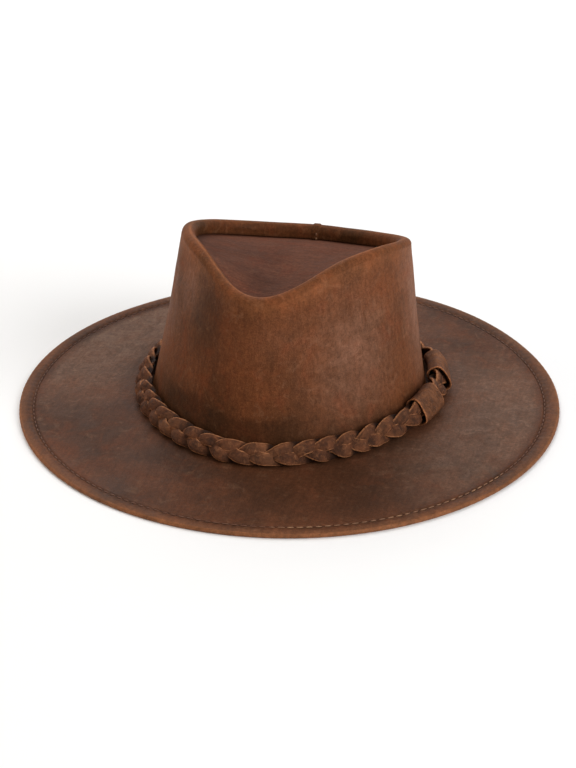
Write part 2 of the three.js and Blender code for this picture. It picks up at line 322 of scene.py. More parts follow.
def make_brim():
    turn = even_turns(HEM_STEPS)[:, None]
    inner = foot_radius(turn) - LEATHER_THICKNESS
    edge = edge_radius(turn)
    stitch = edge - HEM_WIDTH
    pucker = 0.5 + 0.5 * np.cos(turn * HEM_STITCHES)

    beside_groove = 3.2
    field = lerp(inner, stitch - beside_groove, np.linspace(0, 1, 18)[None, :-1])
    near = np.linspace(-beside_groove, beside_groove, 11)[None, :]
    hem = np.linspace(beside_groove + 1, HEM_WIDTH - 1.7, 5)[None, :]
    top_radius = np.concatenate([field, stitch + near, stitch + hem], 1)

    full = BRIM_THICKNESS
    outside = top_radius - stitch
    groove = bump_at(outside, 0, 0.75)
    puff = HEM_PUFF * smoothstep(outside, 0.2, 3.0) * (1 - 0.35 * smoothstep(outside, 5.5, 8.0))
    ridge = 0.28 * bump_at(outside, -1.9, 1.0)
    tuck = pucker * bump_at(outside, 1.8, 2.2)
    top_lift = full + puff + ridge - groove * (0.45 + 0.25 * pucker) - 0.16 * tuck
    flat = brim_point(turn, top_radius, top_lift)
    swell = 0.35 * waves(flat, 42, 3.1) + 0.12 * waves(flat, 13, 7.7)
    quiet = smoothstep(top_radius, inner, inner + 12)
    top = flat.copy()
    top[..., 2] += swell * quiet

    rim_half = (full + 0.65 * HEM_PUFF) / 2
    angles = np.radians(np.array([68, 45, 22, 0, -22, -45, -68]))[None, :]
    round_radius = edge - rim_half + rim_half * np.cos(angles) - 0.10 * pucker
    round_edge = brim_point(turn, round_radius, rim_half + rim_half * np.sin(angles))

    under_share = np.concatenate([[0.99, 0.955], np.linspace(0.9, 0, 10)])[None, :]
    under = brim_point(turn, lerp(inner, edge - 0.2, under_share), 0)

    points = np.concatenate([top, round_edge, under], 1)
    count = top_radius.shape[1]
    wear = np.zeros(points.shape[:2])
    wear[:, :count] = 0.34 * smoothstep(outside, 2.0, 7.5) + 0.22 * bump_at(outside, 1.3, 1.0)
    wear[:, count:count + 7] = 0.75
    wear[:, count + 7:count + 9] = 0.6
    # Painted shade: darker in the stitch groove and its puckers and around the crown's foot. The front of
    # the brim, short of its edge, is darkened as painted shadow of the crown.
    crease = np.zeros(points.shape[:2])
    by_crown = 1 - smoothstep(top_radius, inner + 6, inner + 34)
    painted_front_shade = smoothstep(np.cos(turn - 0.25), 0.1, 0.95) * smoothstep(top_radius, edge - 4, edge - 30)
    crease[:, :count] = np.maximum(groove + 0.5 * tuck, np.maximum(0.6 * by_crown, 0.36 * painted_front_shade))
    suede = np.zeros(points.shape[:2])
    # Painted sheen: a pale grey tone toward the back on the -X side and on the +X side, between the crown
    # and the stitch line, stands in for the reflection of the bright surround.
    painted_sheen = np.zeros(points.shape[:2])
    behind = smoothstep(-np.cos(turn - 0.8), 0.25, 0.95)
    beside = 0.55 * smoothstep(np.cos(turn - 1.5), 0.6, 1.0)
    painted_sheen[:, :count] = np.maximum(0.8 * behind, beside) * smoothstep(top_radius, inner, inner + 40)
    painted_sheen[:, :count] *= smoothstep(outside, -2.0, -6.0)
    attributes = dict(wear=wear, crease=crease, suede=suede, painted_sheen=painted_sheen)
    return ring_object("brim_leather", points, **attributes)


# Crown wall: up the outer face, over the roll, down the lip, back up behind it and down inside


def wall_turns():
    even = even_turns(WALL_STEPS)
    seam_turn = SEAM_WIDTH / float(rim_radius(math.pi))
    seam = math.pi + np.linspace(-0.9, 0.9, 19) * seam_turn
    away = np.abs(wrap(even - math.pi)) > seam_turn
    return np.sort(np.concatenate([even[away], seam]))


def make_crown_wall():
    turn = wall_turns()[:, None]
    standing = FOOT_HEIGHT + GAP
    crest = rim_height(turn)
    roll_centre = crest - ROLL_RADIUS
    proud = seam_step(turn, rim_radius(turn))
    middle = wall_radius(turn, roll_centre) - ROLL_RADIUS

    climb = np.linspace(0, 1, 56)[None, :]
    height = lerp(standing, roll_centre, climb)
    outer = polar(wall_radius(turn, height) + proud, turn, height)
    swell = 0.55 * waves(outer, 38, 11.3) + 0.16 * waves(outer, 11, 5.9)
    hold = smoothstep(climb, 0.0, 0.12)
    outward = np.concatenate([np.sin(turn), -np.cos(turn), 0 * turn], 1)[:, None, :]
    outer = outer + (swell * hold)[..., None] * outward

    angles = np.radians(np.arange(12, 180, 12))[None, :]
    reach = ROLL_RADIUS + proud + 0.25 * waves(outer[:, -1:, :], 24, 2.2)
    roll = polar(middle + reach * np.cos(angles), turn, roll_centre + reach * np.sin(angles))

    fall = np.linspace(0, 1, 9)[None, :]
    lip_height = lerp(roll_centre, crest - LIP_DEPTH, fall)
    lip = polar(middle - ROLL_RADIUS - proud + 0 * fall, turn, lip_height)
    lip_swell = 0.25 * waves(lip, 16, 9.4)
    lip = lip + lip_swell[..., None] * outward

    bore = ROLL_RADIUS - LEATHER_THICKNESS
    behind = np.linspace(1, 0, 4)[None, :]
    back_height = lerp(roll_centre, crest - LIP_DEPTH, behind)
    behind_lip = polar(middle - bore + 0 * behind, turn, back_height)
    bends = np.radians(np.arange(30, 180, 30))[None, :]
    inside_roll = polar(middle - bore * np.cos(bends), turn, roll_centre + bore * np.sin(bends))
    descend = np.linspace(1, 0, 20)[None, :]
    inner_height = lerp(standing, roll_centre, descend)
    inner = polar(wall_radius(turn, inner_height) - LEATHER_THICKNESS, turn, inner_height)

    points = np.concatenate([outer, roll, lip, behind_lip, inside_roll, inner], 1)
    counts = [part.shape[1] for part in (outer, roll, lip)]
    wear = np.zeros(points.shape[:2])
    forward = lerp(0.3, 1.0, smoothstep(np.cos(turn), -0.6, 0.2))
    wear[:, :counts[0]] = forward * 0.34 * smoothstep(height, roll_centre - 12, roll_centre + 2)
    body = 0.18 * (1 - smoothstep(angles, 1.5, 2.2))
    start = counts[0] + counts[1]
    wear[:, counts[0]:start] = forward * np.maximum(body, 0.75 * bump_at(angles, 1.8, 0.2))
    # Painted shade: darker just above the braid all round, in the hollow of the pinch at the front, under
    # the turn of the roll and down the lip toward the top plate.
    crease = np.zeros(points.shape[:2])
    ragged = 5 * waves(outer, 22, 14.2) + 3 * waves(outer, 9, 2.8)
    valley = 0.5 * bump_at(wrap(turn), -0.42, 0.2) * smoothstep(height + ragged, 45, 80)
    contact = 0.8 * (1 - smoothstep(height, standing + 8, standing + 22))
    # The band is a real dark stain low on the front wall, toward -X, carried in the same attribute as the
    # painted shade.
    band_front = smoothstep(wrap(turn), -1.5, -0.9) * (1 - smoothstep(wrap(turn), 0.1, 0.8))
    band = 0.85 * band_front * (1 - smoothstep(height + ragged, standing + 21, standing + 30))
    crease[:, :counts[0]] = np.maximum(np.maximum(contact, band), valley)
    crease[:, counts[0]:start] = 0.2 * smoothstep(angles, 1.9, 2.6)
    crease[:, start:start + counts[2]] = lerp(0.2, 0.9, smoothstep(fall, 0.5, 1.0))
    suede = np.zeros(points.shape[:2])
    suede[:, start + counts[2]:] = 1.0
    # Painted sheen: pale grey patches on the outer wall stand in for highlights where the lamps catch the
    # crown.
    painted_sheen = np.zeros(points.shape[:2])
    for aside, level, spread, rise, amount in PAINTED_SHEEN_PATCHES:
        across = wrap(turn - math.radians(aside)) / math.radians(spread)
        upward = (height + ragged - level) / rise
        patch = amount * np.exp(-(across**2) - upward**2)
        painted_sheen[:, :counts[0]] = np.maximum(painted_sheen[:, :counts[0]], patch)
    attributes = dict(wear=wear, crease=crease, suede=suede, painted_sheen=painted_sheen)
    return ring_object("crown_wall_leather", points, **attributes)


# Crown top: a plate whose border lies under the lip and whose middle sags


def make_crown_top():
    turn = even_turns(TOP_STEPS)[:, None]
    edge_height = rim_height(turn) - LIP_DEPTH - GAP
    roll_middle = wall_radius(turn, rim_height(turn) - ROLL_RADIUS) - ROLL_RADIUS
    lip_radius = roll_middle - ROLL_RADIUS - seam_step(turn, rim_radius(turn))
    share = np.linspace(0.03, 1, 34)[None, :]
    height = lerp(edge_height.mean(), edge_height, share**2) - TOP_SAG * (1 - share**2)
    plate = polar(share * lip_radius, turn, height)
    border = polar(wall_radius(turn, edge_height) - LEATHER_THICKNESS - GAP, turn, edge_height)
    upper = np.concatenate([plate, border], 1)
    rings = upper.shape[1]
    out_share = np.concatenate([share, [[1.1]]], 1)
    swell = 0.5 * waves(upper, 34, 21.0) + 0.15 * waves(upper, 10, 4.0)
    upper[..., 2] += swell * (1 - smoothstep(out_share, 0.8, 1.0))
    lower = upper[:, ::-1].copy()
    lower[..., 2] -= LEATHER_THICKNESS
    points = np.concatenate([upper, lower], 1)
    flat = points.reshape(-1, 3)
    sides = grid_faces(TOP_STEPS, 2 * rings, True, False)
    upper_pole = len(flat)
    lower_pole = upper_pole + 1
    first = np.arange(TOP_STEPS) * 2 * rings
    after = np.roll(first, -1)
    last = 2 * rings - 1
    upper_cap = np.stack([after, first, np.full_like(first, upper_pole)], -1)
    lower_cap = np.stack([first + last, after + last, np.full_like(first, lower_pole)], -1)
    faces = sides.tolist() + upper_cap.tolist() + lower_cap.tolist()
    if (outward_faces(points, sides) != sides).any():
        faces = [face[::-1] for face in faces]
    # Painted shade: the plate darkens toward its border, where it lies under the lip.
    crease = np.zeros(points.shape[:2])
    crease[:, :rings] = smoothstep(out_share, 0.86, 1.0)
    suede = np.zeros(points.shape[:2])
    suede[:, rings:] = 1
    attributes = dict(
        wear=np.zeros(len(flat) + 2),
        crease=np.append(crease, [0, 0]),
        suede=np.append(suede, [0, 1]),
    )
    poles = np.stack([points[:, 0].mean(0), points[:, -1].mean(0)])
    return make_object("crown_top_leather", np.concatenate([flat, poles]), faces, attributes)


# Braid


def oblong_reach(first, second):
    power = KEEPER_SQUARENESS / (KEEPER_SQUARENESS - 1)
    return (first**power + second**power) ** (1 / power)


LEAN_COS = math.cos(BRAID_LEAN)
LEAN_SIN = math.sin(BRAID_LEAN)
BRAID_REACH = math.hypot(BRAID_HALF_WIDTH * LEAN_SIN, BRAID_HALF_DEPTH * LEAN_COS)
BRAID_RAISE = math.hypot(BRAID_HALF_WIDTH * LEAN_COS, BRAID_HALF_DEPTH * LEAN_SIN)
KEEPER_HALF_WIDTH = BRAID_HALF_WIDTH + KEEPER_SLACK / 2 + KEEPER_THICKNESS
KEEPER_HALF_DEPTH = BRAID_HALF_DEPTH + KEEPER_SLACK / 2 + KEEPER_THICKNESS
KEEPER_REACH = oblong_reach(KEEPER_HALF_WIDTH * LEAN_SIN, KEEPER_HALF_DEPTH * LEAN_COS)
KEEPER_RAISE = oblong_reach(KEEPER_HALF_WIDTH * LEAN_COS, KEEPER_HALF_DEPTH * LEAN_SIN)
KEEPER_TURNS = (KEEPER_START, KEEPER_START + KEEPER_SPACING / float(foot_radius(KEEPER_START)))


def keeper_share(turn):
    reach = KEEPER_LENGTH / foot_radius(turn)
    outside = np.maximum(KEEPER_TURNS[0] - wrap(turn), wrap(turn) - KEEPER_TURNS[1])
    return 1 - smoothstep(outside, KEEPER_EASE[0] * reach, KEEPER_EASE[1] * reach)


def braid_centre(turn):
    share = keeper_share(turn)
    height = FOOT_HEIGHT + GAP + lerp(BRAID_RAISE, KEEPER_RAISE, share)
    radius = foot_radius(turn) + GAP + lerp(BRAID_REACH, KEEPER_REACH, share)
    return polar(radius, turn, height)


def unit(vectors):
    return vectors / np.linalg.norm(vectors, axis=-1, keepdims=True)


def braid_directions(turn):
    along = braid_centre(turn + SMALL_TURN) - braid_centre(turn - SMALL_TURN)
    along[..., 2] = 0
    along = unit(along)
    outward = np.stack([along[..., 1], -along[..., 0], 0 * along[..., 0]], -1)
    upright = np.array([0.0, 0.0, 1.0])
    across = LEAN_COS * upright - LEAN_SIN * outward
    face = LEAN_COS * outward + LEAN_SIN * upright
    return across, face


def strip_phase(turn, strand):
    return BRAID_PERIODS * turn + strand / 3 * FULL_TURN


def hand_braided(turn, strand):
    """How far the strand runs ahead of or behind an even braid, as a phase."""
    return 0.28 * np.sin(4 * turn + 2 * strand) + 0.2 * np.sin(7 * turn + strand)


def strip_centre(turn, strand):
    phase = strip_phase(turn, strand) + hand_braided(turn, strand)
    across, face = braid_directions(turn)
    slack = 1 - 0.1 * np.sin(5 * turn + strand)
    swing = STRIP_SWING * (np.sin(phase) + 0.1 * np.sin(3 * phase)) * slack
    weave = STRIP_WEAVE * np.sin(2 * phase)
    return braid_centre(turn) + weave[..., None] * face + swing[..., None] * across


def make_strip(strand):
    steps = BRAID_PERIODS * STEPS_PER_PERIOD
    turn = even_turns(steps)
    centre = strip_centre(turn, strand)
    along = unit(strip_centre(turn + SMALL_TURN, strand) - strip_centre(turn - SMALL_TURN, strand))
    face = braid_directions(turn)[1]
    across = unit(np.cross(face, along))
    face = np.cross(along, across)
    tilt = STRIP_TILT * np.cos(strip_phase(turn, strand) - math.radians(135))
    tilt_cos = np.cos(tilt)[:, None]
    tilt_sin = np.sin(tilt)[:, None]
    across, face = across * tilt_cos - face * tilt_sin, face * tilt_cos + across * tilt_sin

    angle = even_turns(STRIP_SIDES)
    flat = np.sign(np.cos(angle)) * np.abs(np.cos(angle)) ** STRIP_SQUARENESS
    width = STRIP_WIDTH / 2 * (1 + 0.14 * waves(centre, 8, 31.0 + strand))[:, None]
    depth = STRIP_THICKNESS / 2 * np.sin(angle) + STRIP_ARCH * (1 - flat**2)
    sideways = (width * flat)[..., None] * across[:, None, :]
    points = centre[:, None, :] + sideways + depth[None, :, None] * face[:, None, :]
    rough = 0.26 * waves(points, 2.2, 17.0 + strand) + 0.4 * waves(points, 5.0, 6.0 + strand)
    points = points + rough[..., None] * face[:, None, :]
    size = points.shape[:2]
    # Painted shade: darker where the strip dives under the others and along a crease line down its middle.
    dive = smoothstep(-np.sin(2 * strip_phase(turn, strand)), 0.1, 0.95)[:, None]
    fold = smoothstep(np.abs(flat + 0.25 * waves(centre, 4, 9.0)[:, None]), 0.2, 0.0)
    crease = np.maximum(0.95 * dive, 0.3 * fold)
    return ring_object(
        f"braid_strip_{strand + 1}",
        points,
        wear=np.broadcast_to(smoothstep(np.abs(flat), 0.8, 0.97), size),
        crease=crease,
        along=np.broadcast_to(np.linspace(0, steps, steps)[:, None], size),
        across=np.broadcast_to(flat + 3 * strand, size),
    )


def make_keeper(name, middle_turn, flare):
    half_turn = KEEPER_LENGTH / 2 / float(np.linalg.norm(braid_centre(middle_turn)[:2]))
    end_run = np.array([1.0, 0.995, 0.985])
    end_trim = np.array([0.5, 0.25, 0.08])
    body = np.linspace(-0.96, 0.96, KEEPER_RINGS)
    run = np.concatenate([-end_run, body, end_run[::-1]])
    ease = np.concatenate([end_trim, 0 * body, end_trim[::-1]])
    turn = middle_turn + half_turn * run
    centre = braid_centre(turn)[:, None, :]
    across, face = (part[:, None, :] for part in braid_directions(turn))
    angle = even_turns(KEEPER_SIDES)[None, :]
    power = KEEPER_SQUARENESS
    round_off = (np.abs(np.cos(angle)) ** power + np.abs(np.sin(angle)) ** power) ** (1 / power)

    def shell(inset, sign):
        lip = flare * np.abs(run[:, None]) ** 4
        half_depth = KEEPER_HALF_DEPTH - inset + lip - 0.1
        half_width = KEEPER_HALF_WIDTH - inset + 0.4 * lip - 0.1
        trim = (sign * ease * KEEPER_THICKNESS)[:, None]
        depth = (half_depth - trim) / round_off * np.cos(angle)
        width = (half_width - trim) / round_off * np.sin(angle)
        return centre + depth[..., None] * face + width[..., None] * across

    outer = shell(0, 1)
    inner = shell(KEEPER_THICKNESS, -1)[::-1]
    points = np.concatenate([outer, inner], 0)
    outward = unit(points - np.concatenate([np.broadcast_to(centre, outer.shape)] * 2, 0))
    crinkle = 0.3 * waves(points, 8, 41.0) + 0.12 * waves(points, 3, 12.0)
    points = points + crinkle[..., None] * outward
    rows = np.concatenate([run, run])[:, None]
    wear = smoothstep(np.abs(rows) + 0.03 * waves(points, 3, 5.0), 0.93, 0.985)
    inside = np.repeat([0.0, 1.0], len(run))[:, None]
    size = points.shape[:2]
    return ring_object(
        name,
        points.transpose(1, 0, 2),
        wear=wear.T,
        # Painted shade on the keeper's inner face.
        crease=np.broadcast_to(0.6 * inside, size).T,
        along=np.broadcast_to(rows * KEEPER_LENGTH / 2, size).T,
        across=np.broadcast_to(angle, size).T,
    )


# Stitches by geometry nodes: capsules of thread along a path


def add_node(tree, kind, inputs=None, **settings):
    node = tree.nodes.new(kind)
    for key, value in settings.items():
        setattr(node, key, value)
    for key, value in (inputs or {}).items():
        socket = node.inputs[key]
        if isinstance(value, bpy.types.NodeSocket):
            tree.links.new(value, socket)
        else:
            socket.default_value = value
    return node


def stitch_tree():
    tree = bpy.data.node_groups.new("stitches_on_path", "GeometryNodeTree")
    sockets = {}
    for name, kind in (
        ("Path", "NodeSocketGeometry"),
        ("Pitch", "NodeSocketFloat"),
        ("Stitch Length", "NodeSocketFloat"),
        ("Thread Width", "NodeSocketFloat"),
        ("Thread Height", "NodeSocketFloat"),
        ("Seed", "NodeSocketInt"),
        ("Thread", "NodeSocketMaterial"),
    ):
        socket = tree.interface.new_socket(name=name, in_out="INPUT", socket_type=kind)
        sockets[name] = socket.identifier
    tree.interface.new_socket(name="Stitches", in_out="OUTPUT", socket_type="NodeSocketGeometry")
    given = tree.nodes.new("NodeGroupInput").outputs
    result = tree.nodes.new("NodeGroupOutput")
    curve = add_node(tree, "GeometryNodeMeshToCurve", {"Mesh": given["Path"]})
    even = add_node(
        tree,
        "GeometryNodeResampleCurve",
        {"Curve": curve.outputs[0], "Length": given["Pitch"]},
        mode="LENGTH",
    )
    tangent = add_node(tree, "GeometryNodeInputTangent")
    out = add_node(tree, "GeometryNodeInputNamedAttribute", {"Name": "out"}, data_type="FLOAT_VECTOR")
    along = add_node(
        tree, "FunctionNodeAlignRotationToVector", {"Vector": tangent.outputs[0]}, axis="X"
    )
    upright = add_node(
        tree,
        "FunctionNodeAlignRotationToVector",
        {"Rotation": along.outputs[0], "Vector": out.outputs["Attribute"]},
        axis="Z",
        pivot_axis="X",
    )
    thread = add_node(tree, "GeometryNodeMeshUVSphere", {"Segments": 10, "Rings": 8, "Radius": 0.5})
    vary = add_node(
        tree, "FunctionNodeRandomValue", {2: 0.9, 3: 1.1, "Seed": given["Seed"]}, data_type="FLOAT"
    )
    length = add_node(
        tree, "ShaderNodeMath", {0: given["Stitch Length"], 1: vary.outputs[1]}, operation="MULTIPLY"
    )
    size = add_node(
        tree,
        "ShaderNodeCombineXYZ",
        {"X": length.outputs[0], "Y": given["Thread Width"], "Z": given["Thread Height"]},
    )
    placed = add_node(
        tree,
        "GeometryNodeInstanceOnPoints",
        {
            "Points": even.outputs[0],
            "Instance": thread.outputs["Mesh"],
            "Rotation": upright.outputs[0],
            "Scale": size.outputs[0],
        },
    )
    real = add_node(tree, "GeometryNodeRealizeInstances", {"Geometry": placed.outputs[0]})
    smooth = add_node(tree, "GeometryNodeSetShadeSmooth", {"Geometry": real.outputs[0]})
    finished = add_node(
        tree, "GeometryNodeSetMaterial", {"Geometry": smooth.outputs[0], "Material": given["Thread"]}
    )
    tree.links.new(finished.outputs[0], result.inputs[0])
    return tree, sockets


def stitches(name, path, out, closed, values, tree, sockets):
    """Stitches along path (millimetres), standing out along the out vectors."""
    mesh = bpy.data.meshes.new(name + "_path")
    count = len(path)
    edges = [(k, k + 1) for k in range(count - 1)] + ([(count - 1, 0)] if closed else [])
    mesh.from_pydata((path * MM).tolist(), edges, [])
    layer = mesh.attributes.new("out", "FLOAT_VECTOR", "POINT")
    layer.data.foreach_set("vector", np.broadcast_to(out, path.shape).astype(np.float32).ravel())
    carrier = bpy.data.objects.new(name + "_path", mesh)
    bpy.context.collection.objects.link(carrier)
    modifier = carrier.modifiers.new("stitches", "NODES")
    modifier.node_group = tree
    for key, value in values.items():
        modifier[sockets[key]] = value
    graph = bpy.context.evaluated_depsgraph_get()
    finished = bpy.data.meshes.new_from_object(carrier.evaluated_get(graph))
    carrier.modifiers.remove(modifier)
    bpy.data.objects.remove(carrier)
    finished.name = name
    piece = bpy.data.objects.new(name, finished)
    bpy.context.collection.objects.link(piece)
    return piece


# Materials


def colour(red, green, blue):
    """Linear colour from screen values of 0 to 255."""
    channels = [value / 255 for value in (red, green, blue)]
    linear = [c / 12.92 if c <= 0.04045 else ((c + 0.055) / 1.055) ** 2.4 for c in channels]
    return (*linear, 1.0)


def mix_colour(tree, factor, first, second, blend="MIX"):
    node = add_node(
        tree, "ShaderNodeMix", {0: factor, 6: first, 7: second}, data_type="RGBA", blend_type=blend
    )
    return node.outputs[2]


def math_node(tree, operation, first, second=0.0):
    return add_node(tree, "ShaderNodeMath", {0: first, 1: second}, operation=operation).outputs[0]


def remap(tree, value, low, high, out_low=0.0, out_high=1.0):
    inputs = {"Value": value, "From Min": low, "From Max": high, "To Min": out_low, "To Max": out_high}
    return add_node(tree, "ShaderNodeMapRange", inputs).outputs[0]


def noise_value(tree, vector, scale, detail=3.0, roughness=0.5, distortion=0.0):
    inputs = dict(Vector=vector, Scale=scale, Detail=detail, Roughness=roughness, Distortion=distortion)
    return add_node(tree, "ShaderNodeTexNoise", inputs).outputs[0]


def attribute_value(tree, name):
    return add_node(tree, "ShaderNodeAttribute", attribute_name=name).outputs["Fac"]


def speckled(tree, tone, speck):
    grey = add_node(tree, "ShaderNodeCombineColor", {0: speck, 1: speck, 2: speck}).outputs[0]
    return mix_colour(tree, 1.0, tone, grey, "MULTIPLY")


def darker(tint, share):
    return tuple(share * value for value in tint[:3]) + (1.0,)


def add_bump(tree, shader, height, strength, distance):
    inputs = {"Height": height, "Strength": strength, "Distance": distance}
    tree.links.new(add_node(tree, "ShaderNodeBump", inputs).outputs[0], shader.inputs["Normal"])


def new_material(name):
    material = bpy.data.materials.new(name)
    material.use_nodes = True
    tree = material.node_tree
    return material, tree, tree.nodes["Principled BSDF"]


def leather(name, colours, gloss, specular, nap, streak_scale, seed):
    """Waxed leather: mottled in Object coordinates, worn at edges, painted shade in creases, painted sheen.
    """
    base, dark, red, pale, sheen_tone, worn = (colour(*values) for values in colours)
    material, tree, shader = new_material(name)
    place = add_node(tree, "ShaderNodeTexCoord").outputs["Object"]
    moved = add_node(tree, "ShaderNodeMapping", {"Vector": place, "Location": (seed, seed, seed)})
    place = moved.outputs[0]
    streaks = add_node(tree, "ShaderNodeMapping", {"Vector": place, "Scale": streak_scale}).outputs[0]
    broad = noise_value(tree, place, 17, 3, 0.55, 0.4)
    blotch = noise_value(tree, place, 48, 5, 0.62, 0.8)
    stain = noise_value(tree, place, 110, 4, 0.6, 1.2)
    brushed = noise_value(tree, streaks, 120, 4, 0.6, 0.2)
    pores = noise_value(tree, place, 1400, 3, 0.6)
    grain = add_node(tree, "ShaderNodeTexVoronoi", {"Vector": place, "Scale": 950.0}).outputs["Distance"]
    wrinkle = noise_value(tree, place, 260, 5, 0.6, 0.6)

    tone = mix_colour(tree, remap(tree, broad, 0.36, 0.62), dark, base)
    tone = mix_colour(tree, remap(tree, blotch, 0.5, 0.78, 0, 0.65), tone, red)
    tone = mix_colour(tree, remap(tree, blotch, 0.44, 0.26, 0, 0.55), tone, dark)
    tone = mix_colour(tree, remap(tree, stain, 0.56, 0.78, 0, 0.45), tone, pale)
    tone = mix_colour(tree, remap(tree, brushed, 0.52, 0.74, 0, 0.26), tone, dark)
    # Painted sheen: a pale grey tone, blended in by the attribute, stands in for highlight and reflection.
    cloudy = remap(tree, stain, 0.3, 0.7, 0.4, 1.0)
    painted_sheen = math_node(tree, "MULTIPLY", attribute_value(tree, "painted_sheen"), cloudy)
    tone = mix_colour(tree, painted_sheen, tone, sheen_tone)
    wear = attribute_value(tree, "wear")
    patchy = remap(tree, blotch, 0.3, 0.65, 0.45, 1.0)
    tone = mix_colour(tree, math_node(tree, "MULTIPLY", wear, patchy), tone, worn)
    # Painted shade: a very dark tone blended in where the attribute marks creases, recesses and cast
    # shadow. On the wall it also carries a real stain band.
    crease = attribute_value(tree, "crease")
    tone = mix_colour(tree, math_node(tree, "MULTIPLY", crease, 0.62), tone, darker(dark, 0.42))
    suede = attribute_value(tree, "suede")
    tone = mix_colour(tree, suede, tone, colour(*SUEDE_SIDE))
    fine = noise_value(tree, place, 420, 4, 0.7, 0.5)
    thread_like = noise_value(tree, streaks, 480, 3, 0.6, 0.2)
    speck = remap(tree, fine, 0.3, 0.7, 0.76, 1.24)
    speck = math_node(tree, "MULTIPLY", speck, remap(tree, pores, 0.3, 0.7, 0.78, 1.22))
    speck = math_node(tree, "MULTIPLY", speck, remap(tree, thread_like, 0.3, 0.7, 0.86, 1.14))
    tree.links.new(speckled(tree, tone, speck), shader.inputs["Base Color"])

    rough = remap(tree, blotch, 0.3, 0.7, gloss - 0.07, gloss + 0.09)
    rough = math_node(tree, "ADD", rough, remap(tree, pores, 0.3, 0.7, -0.05, 0.05))
    rough = math_node(tree, "ADD", rough, math_node(tree, "MULTIPLY", suede, 0.3))
    tree.links.new(rough, shader.inputs["Roughness"])
    height = math_node(tree, "MULTIPLY", grain, 0.5)
    height = math_node(tree, "ADD", height, math_node(tree, "MULTIPLY", pores, 0.9))
    height = math_node(tree, "ADD", height, math_node(tree, "MULTIPLY", wrinkle, 1.6))
    add_bump(tree, shader, height, 0.35, 0.5 * MM)
    shader.inputs["Specular IOR Level"].default_value = specular
    shader.inputs["Sheen Weight"].default_value = nap
    shader.inputs["Sheen Roughness"].default_value = 0.3
    shader.inputs["Sheen Tint"].default_value = colour(*NAP_COLOUR)
    return material


def strip_leather(name, colours, seed):
    """Raw-edged strip leather: fibres along the strip, paler frayed edges, painted shade where strips pass
    under.
    """
    base, dark, worn = (colour(*values) for values in colours)
    material, tree, shader = new_material(name)
    place = add_node(tree, "ShaderNodeTexCoord").outputs["Object"]
    along = attribute_value(tree, "along")
    across = attribute_value(tree, "across")
    drawn_out = math_node(tree, "MULTIPLY", along, 0.09)
    strip = add_node(tree, "ShaderNodeCombineXYZ", {"X": drawn_out, "Y": across, "Z": seed}).outputs[0]
    fibre = noise_value(tree, strip, 7.0, 5, 0.65, 0.3)
    crackle = noise_value(tree, place, 330, 4, 0.7, 1.0)
    blotch = noise_value(tree, place, 150, 4, 0.6, 0.8)
    broad = noise_value(tree, place, 40, 2, 0.5)
    pores = noise_value(tree, place, 1500, 3, 0.6)
    tone = mix_colour(tree, remap(tree, blotch, 0.35, 0.65), dark, base)
    tone = mix_colour(tree, remap(tree, fibre, 0.5, 0.75, 0, 0.5), tone, dark)
    tone = mix_colour(tree, remap(tree, crackle, 0.54, 0.74, 0, 0.32), tone, worn)
    tone = mix_colour(tree, remap(tree, crackle, 0.46, 0.3, 0, 0.6), tone, dark)
    tone = mix_colour(tree, remap(tree, broad, 0.52, 0.7, 0, 0.12), tone, worn)
    wear = attribute_value(tree, "wear")
    ragged = remap(tree, noise_value(tree, place, 700, 4, 0.7), 0.35, 0.6, 0.15, 1.0)
    tone = mix_colour(tree, math_node(tree, "MULTIPLY", wear, ragged), tone, worn)
    # Painted shade: a very dark tone where the strips dive under each other, along their middles and inside
    # the keepers.
    tone = mix_colour(tree, attribute_value(tree, "crease"), tone, darker(dark, 0.4))
    speck = remap(tree, pores, 0.3, 0.7, 0.82, 1.15)
    tree.links.new(speckled(tree, tone, speck), shader.inputs["Base Color"])
    rough = remap(tree, blotch, 0.3, 0.7, 0.5, 0.72)
    tree.links.new(rough, shader.inputs["Roughness"])
    height = math_node(tree, "ADD", math_node(tree, "MULTIPLY", fibre, 1.2), pores)
    height = math_node(tree, "ADD", height, math_node(tree, "MULTIPLY", blotch, 1.5))
    height = math_node(tree, "ADD", height, math_node(tree, "MULTIPLY", crackle, 1.6))
    add_bump(tree, shader, height, 0.65, 0.8 * MM)
    shader.inputs["Specular IOR Level"].default_value = 0.14
    return material


def thread_material():
    """Waxed thread: pale toward the front left and at the lip, dull and dark elsewhere."""
    material, tree, shader = new_material("waxed_thread")
    place = add_node(tree, "ShaderNodeTexCoord").outputs["Object"]
    twist = noise_value(tree, place, 900, 3, 0.6)
    thread_mottle = noise_value(tree, place, 45, 3, 0.6)
    tone = mix_colour(tree, remap(tree, twist, 0.35, 0.65), colour(*THREAD_SHADE), colour(*THREAD))
    axes = add_node(tree, "ShaderNodeSeparateXYZ", {"Vector": place}).outputs
    aside = math_node(tree, "MULTIPLY", axes["X"], 0.62)
    ahead = math_node(tree, "MULTIPLY", axes["Y"], 0.79)
    # The thread is paler along one arc of the hem, toward the front and +X, and high up at the lip, and
    # darker elsewhere.
    pale_share = remap(tree, math_node(tree, "SUBTRACT", aside, ahead), 0.125, 0.152)
    pale_share = math_node(tree, "MAXIMUM", pale_share, remap(tree, axes["Z"], 0.06, 0.08, 0, 0.8))
    dull = math_node(tree, "SUBTRACT", remap(tree, thread_mottle, 0.38, 0.54, 1.2, 1.7), pale_share)
    tone = mix_colour(tree, remap(tree, dull, 0.0, 1.0, 0, 0.95), tone, colour(*DARK_THREAD))
    tree.links.new(tone, shader.inputs["Base Color"])
    shader.inputs["Roughness"].default_value = 0.6
    add_bump(tree, shader, twist, 0.5, 0.2 * MM)
    return material


# Camera, light and floor


